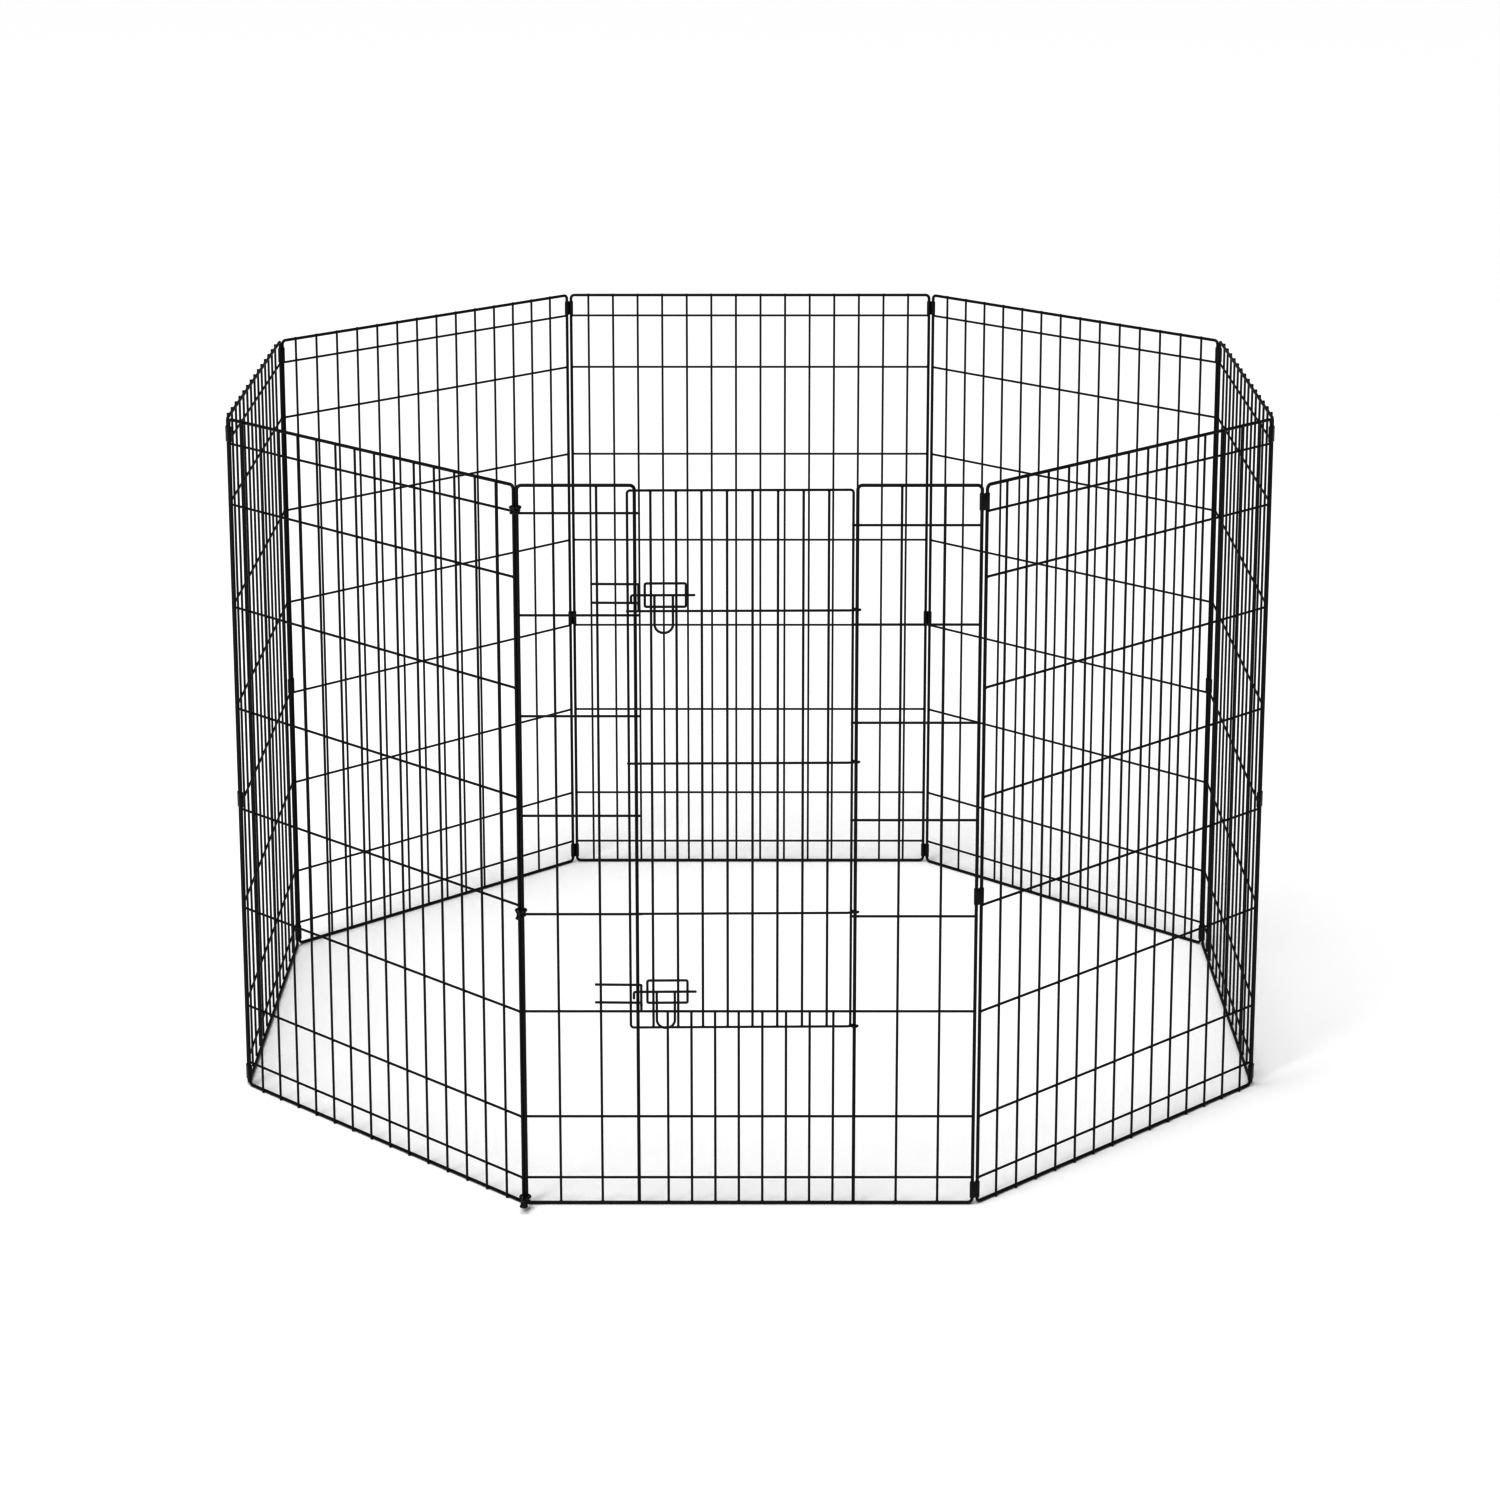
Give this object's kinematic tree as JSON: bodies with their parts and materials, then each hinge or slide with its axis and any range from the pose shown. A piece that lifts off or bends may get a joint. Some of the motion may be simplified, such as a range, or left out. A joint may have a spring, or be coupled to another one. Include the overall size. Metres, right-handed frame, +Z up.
{
  "type": "pet playpen",
  "caption": "Folding wire exercise pen: welded mesh panels hinged in an eight-sided ring, with a latched door in one panel to keep a pet inside.",
  "frame": {"origin": "centre of the bounding box in plan, on the floor", "axes": "+Z up; -Y towards the front, where the door panel is; +X to the right for someone who stands in front and looks at the door"},
  "size_m": [1.4824, 1.5146, 1],
  "materials": {
    "coated_wire": "satin black coating over steel wire",
    "sheet_clips": "satin black coating over pressed sheet steel",
    "snap_casting": "black coated zinc casting",
    "snap_fittings": "black coated zinc casting"
  },
  "bodies": {
    "front_panel": {"front_panel_frame": "coated_wire", "front_panel_uprights": "coated_wire", "front_panel_rows": "coated_wire", "upper_latch_keeper": "coated_wire", "lower_latch_keeper": "coated_wire", "top_snap_hook": "snap_casting", "middle_snap_hook": "snap_casting", "bottom_snap_hook": "snap_casting", "corner_1_clips": "sheet_clips"},
    "door": {"door_frame": "coated_wire", "door_uprights": "coated_wire", "door_rows": "coated_wire", "upper_latch_guide": "coated_wire", "lower_latch_guide": "coated_wire"},
    "front_right_panel": {"front_right_panel_frame": "coated_wire", "front_right_panel_uprights": "coated_wire", "front_right_panel_rows": "coated_wire", "corner_2_clips": "sheet_clips"},
    "right_panel": {"right_panel_frame": "coated_wire", "right_panel_uprights": "coated_wire", "right_panel_rows": "coated_wire", "corner_3_clips": "sheet_clips"},
    "back_right_panel": {"back_right_panel_frame": "coated_wire", "back_right_panel_uprights": "coated_wire", "back_right_panel_rows": "coated_wire", "corner_4_clips": "sheet_clips"},
    "back_panel": {"back_panel_frame": "coated_wire", "back_panel_uprights": "coated_wire", "back_panel_rows": "coated_wire", "corner_5_clips": "sheet_clips"},
    "back_left_panel": {"back_left_panel_frame": "coated_wire", "back_left_panel_uprights": "coated_wire", "back_left_panel_rows": "coated_wire", "corner_6_clips": "sheet_clips"},
    "left_panel": {"left_panel_frame": "coated_wire", "left_panel_uprights": "coated_wire", "left_panel_rows": "coated_wire", "corner_7_clips": "sheet_clips"},
    "front_left_panel": {"front_left_panel_frame": "coated_wire", "front_left_panel_uprights": "coated_wire", "front_left_panel_rows": "coated_wire"},
    "upper_latch_rod": {"upper_latch_rod": "coated_wire"},
    "upper_latch_pull": {"upper_latch_handle": "coated_wire", "upper_latch_hook": "coated_wire"},
    "lower_latch_rod": {"lower_latch_rod": "coated_wire"},
    "lower_latch_pull": {"lower_latch_handle": "coated_wire", "lower_latch_hook": "coated_wire"},
    "top_snap_bolt": {"top_snap_thumb_bolt": "snap_fittings"},
    "top_snap_eye": {"top_snap_swivel_eye": "snap_fittings"},
    "middle_snap_bolt": {"middle_snap_thumb_bolt": "snap_fittings"},
    "middle_snap_eye": {"middle_snap_swivel_eye": "snap_fittings"},
    "bottom_snap_bolt": {"bottom_snap_thumb_bolt": "snap_fittings"},
    "bottom_snap_eye": {"bottom_snap_swivel_eye": "snap_fittings"}
  },
  "joints": [
    {"name": "corner_1_hinge", "type": "hinge", "parent": "front_panel", "child": "front_right_panel", "pos_m": [0.30783, -0.71744, 0.5], "axis": [0, 0, 1], "range_deg": [0, 100]},
    {"name": "corner_2_hinge", "type": "hinge", "parent": "front_right_panel", "child": "right_panel", "pos_m": [0.73634, -0.28494, 0.5], "axis": [0, 0, 1], "range_deg": [-160, 0]},
    {"name": "corner_3_hinge", "type": "hinge", "parent": "right_panel", "child": "back_right_panel", "pos_m": [0.7335, 0.32389, 0.5], "axis": [0, 0, 1], "range_deg": [0, 100]},
    {"name": "corner_4_hinge", "type": "hinge", "parent": "back_right_panel", "child": "back_panel", "pos_m": [0.301, 0.7524, 0.5], "axis": [0, 0, 1], "range_deg": [-160, 0]},
    {"name": "corner_5_hinge", "type": "hinge", "parent": "back_panel", "child": "back_left_panel", "pos_m": [-0.30783, 0.74956, 0.5], "axis": [0, 0, 1], "range_deg": [0, 100]},
    {"name": "corner_6_hinge", "type": "hinge", "parent": "back_left_panel", "child": "left_panel", "pos_m": [-0.73634, 0.31706, 0.5], "axis": [0, 0, 1], "range_deg": [-160, 0]},
    {"name": "corner_7_hinge", "type": "hinge", "parent": "left_panel", "child": "front_left_panel", "pos_m": [-0.7335, -0.29177, 0.5], "axis": [0, 0, 1], "range_deg": [0, 100]},
    {"name": "door_hinge", "type": "hinge", "parent": "front_panel", "child": "door", "pos_m": [0.1398, -0.72028, 0.6], "axis": [0, 0, 1], "range_deg": [0, 150]},
    {"name": "upper_latch_slide", "type": "slide", "parent": "door", "child": "upper_latch_rod", "axis": [0.9999, 0.0148, 0], "range_m": [0, 0.0135]},
    {"name": "upper_latch_turn", "type": "hinge", "parent": "upper_latch_rod", "child": "upper_latch_pull", "pos_m": [-0.11239, -0.72982, 0.8535], "axis": [-0.9999, -0.0148, 0], "range_deg": [0, 110]},
    {"name": "lower_latch_slide", "type": "slide", "parent": "door", "child": "lower_latch_rod", "axis": [0.9999, 0.0148, 0], "range_m": [0, 0.0135]},
    {"name": "lower_latch_turn", "type": "hinge", "parent": "lower_latch_rod", "child": "lower_latch_pull", "pos_m": [-0.11239, -0.72982, 0.3076], "axis": [-0.9999, -0.0148, 0], "range_deg": [0, 110]},
    {"name": "top_snap_bolt_slide", "type": "slide", "parent": "front_panel", "child": "top_snap_bolt", "axis": [0, -1, 0], "range_m": [0, 0.0048], "stiffness_N_per_m": 150},
    {"name": "top_snap_swivel", "type": "hinge", "parent": "front_panel", "child": "top_snap_eye", "pos_m": [-0.30464, -0.7431, 0.9686], "axis": [0, -1, 0], "continuous": true},
    {"name": "middle_snap_bolt_slide", "type": "slide", "parent": "front_panel", "child": "middle_snap_bolt", "axis": [0, -1, 0], "range_m": [0, 0.0048], "stiffness_N_per_m": 150},
    {"name": "middle_snap_swivel", "type": "hinge", "parent": "front_panel", "child": "middle_snap_eye", "pos_m": [-0.30464, -0.7431, 0.4186], "axis": [0, -1, 0], "continuous": true},
    {"name": "bottom_snap_bolt_slide", "type": "slide", "parent": "front_panel", "child": "bottom_snap_bolt", "axis": [0, -1, 0], "range_m": [0, 0.0048], "stiffness_N_per_m": 150},
    {"name": "bottom_snap_swivel", "type": "hinge", "parent": "front_panel", "child": "bottom_snap_eye", "pos_m": [-0.30464, -0.7431, 0.01], "axis": [0, -1, 0], "continuous": true}
  ],
  "couplings": [
    {"joint": "corner_3_hinge", "follows": "corner_2_hinge", "ratio": -0.625},
    {"joint": "corner_5_hinge", "follows": "corner_4_hinge", "ratio": -0.625},
    {"joint": "corner_7_hinge", "follows": "corner_6_hinge", "ratio": -0.625}
  ]
}
